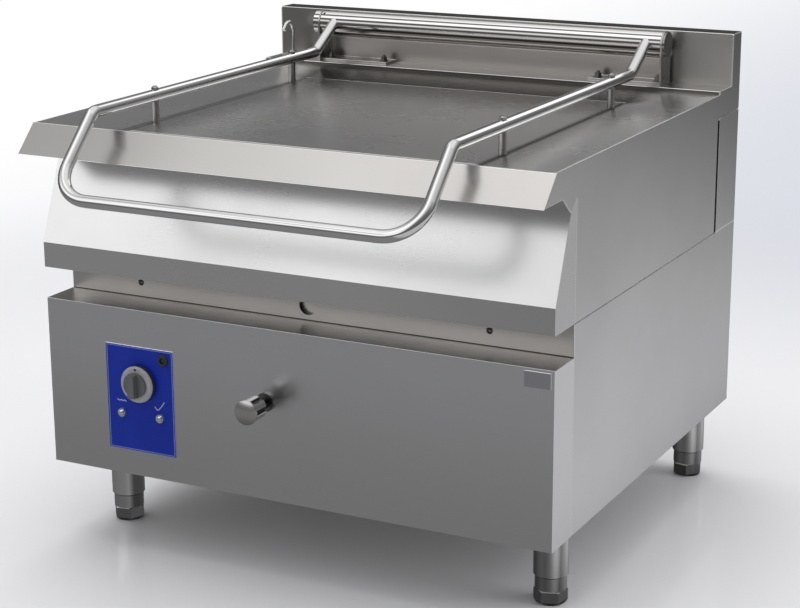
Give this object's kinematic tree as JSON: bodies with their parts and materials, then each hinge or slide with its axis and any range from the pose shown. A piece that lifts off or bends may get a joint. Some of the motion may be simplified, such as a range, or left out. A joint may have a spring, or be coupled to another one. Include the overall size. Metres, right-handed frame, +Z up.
{
  "type": "tilting bratt pan",
  "caption": "Floor-standing catering cooker: a deep rectangular pan with a hinged tube-framed lid that tilts forward over its front lip, on a boxed cabinet with levelling feet.",
  "frame": {"origin": "on the floor, under the middle of the object's overall box", "axes": "+X to the right as seen from the front, +Y from the control side towards the back, +Z up"},
  "size_m": [1.004, 1.086, 0.8979],
  "materials": {
    "cabinet_steel": "satin",
    "casing_steel": "satin",
    "basin_steel": "satin",
    "lid_steel": "satin",
    "frame_steel": "matte",
    "tube_steel": "polished",
    "bright_metal": "polished",
    "leg_steel": "satin",
    "black_plastic": "matte",
    "blue_plate": "gloss",
    "pale_plastic": "matte",
    "bronze": "satin",
    "grey_paint": "satin",
    "element_sheath": "matte"
  },
  "bodies": {
    "base": {"base_frame": "frame_steel", "base_floor": "cabinet_steel", "side_panel_left": "cabinet_steel", "side_panel_right": "cabinet_steel", "rear_panel": "cabinet_steel", "column_cover": "cabinet_steel", "front_panel": "cabinet_steel", "sill_strip": "cabinet_steel", "sill_screws": "bright_metal", "control_plate": "blue_plate", "badge_plate": "bright_metal", "thermostat": "pale_plastic", "button_bezels": "bright_metal", "switch_blocks": "black_plastic", "reset_bezel": "black_plastic", "water_valve": "bronze", "leg_sleeves": "leg_steel", "trunnion_brackets": "frame_steel", "trunnion_bushes": "bronze", "actuator_housing": "grey_paint", "actuator_motor": "grey_paint", "power_box": "grey_paint", "water_inlet": "bronze"},
    "thermostat_knob": {"knob_spindle": "bright_metal", "knob_skirt": "bright_metal", "knob_grip": "black_plastic"},
    "heat_button": {"heat_button": "bright_metal"},
    "tilt_button": {"tilt_button": "bright_metal"},
    "reset_button": {"reset_button": "black_plastic"},
    "valve_handle": {"valve_spindle": "bright_metal", "valve_knob": "bright_metal"},
    "foot_front_left": {"foot_front_left": "leg_steel"},
    "foot_front_right": {"foot_front_right": "leg_steel"},
    "foot_rear_left": {"foot_rear_left": "leg_steel"},
    "foot_rear_right": {"foot_rear_right": "leg_steel"},
    "lift_rod": {"actuator_rod": "bright_metal"},
    "lift_roller": {"cam_roller": "bright_metal"},
    "pan": {"basin": "basin_steel", "pan_top": "casing_steel", "front_lip": "casing_steel", "front_casing": "casing_steel", "casing_left": "casing_steel", "casing_right": "casing_steel", "rear_casing": "casing_steel", "backsplash": "casing_steel", "pan_frame": "frame_steel", "heating_elements": "element_sheath", "tilt_shaft": "bright_metal", "cam_plate": "frame_steel", "hinge_brackets": "casing_steel", "hinge_base": "casing_steel", "hinge_bolts": "bright_metal", "hinge_pins": "bright_metal", "spout_base": "tube_steel"},
    "spout": {"spout": "tube_steel"},
    "lid": {"lid_plate": "lid_steel", "lid_frame": "tube_steel", "lid_posts": "tube_steel", "hinge_tube": "tube_steel", "tube_bushes": "bronze"}
  },
  "joints": [
    {"name": "pan_tilt", "type": "hinge", "parent": "base", "child": "pan", "pos_m": [0, -0.312, 0.545], "axis": [1, 0, 0], "range_deg": [0, 80]},
    {"name": "actuator_lift", "type": "slide", "parent": "base", "child": "lift_rod", "axis": [0, 0, 1], "range_m": [0, 0.2514]},
    {"name": "roller_spin", "type": "hinge", "parent": "lift_rod", "child": "lift_roller", "pos_m": [0.3934, -0.132, 0.575], "axis": [1, 0, 0], "continuous": true},
    {"name": "lid_open", "type": "hinge", "parent": "pan", "child": "lid", "pos_m": [0, 0.461, 0.8725], "axis": [-1, 0, 0], "range_deg": [0, 85]},
    {"name": "thermostat_turn", "type": "hinge", "parent": "base", "child": "thermostat_knob", "pos_m": [-0.3025, -0.367, 0.3293], "axis": [0, 1, 0], "range_deg": [0, 270]},
    {"name": "heat_push", "type": "slide", "parent": "base", "child": "heat_button", "axis": [0, 1, 0], "range_m": [0, 0.003], "stiffness_N_per_m": 300},
    {"name": "tilt_push", "type": "slide", "parent": "base", "child": "tilt_button", "axis": [0, 1, 0], "range_m": [0, 0.003], "stiffness_N_per_m": 300},
    {"name": "reset_push", "type": "slide", "parent": "base", "child": "reset_button", "axis": [0, 1, 0], "range_m": [0, 0.003], "stiffness_N_per_m": 300},
    {"name": "valve_turn", "type": "hinge", "parent": "base", "child": "valve_handle", "pos_m": [-0.04, -0.367, 0.333], "axis": [0, 1, 0], "range_deg": [0, 360]},
    {"name": "spout_swivel", "type": "hinge", "parent": "pan", "child": "spout", "pos_m": [-0.451, 0.458, 0.8], "axis": [0, 0, 1], "range_deg": [-90, 90]},
    {"name": "foot_front_left_screw", "type": "slide", "parent": "base", "child": "foot_front_left", "axis": [0, 0, -1], "range_m": [0, 0.04]},
    {"name": "foot_front_right_screw", "type": "slide", "parent": "base", "child": "foot_front_right", "axis": [0, 0, -1], "range_m": [0, 0.04]},
    {"name": "foot_rear_left_screw", "type": "slide", "parent": "base", "child": "foot_rear_left", "axis": [0, 0, -1], "range_m": [0, 0.04]},
    {"name": "foot_rear_right_screw", "type": "slide", "parent": "base", "child": "foot_rear_right", "axis": [0, 0, -1], "range_m": [0, 0.04]}
  ],
  "couplings": [
    {"joint": "actuator_lift", "follows": "pan_tilt", "m_per_rad": 0.18}
  ]
}
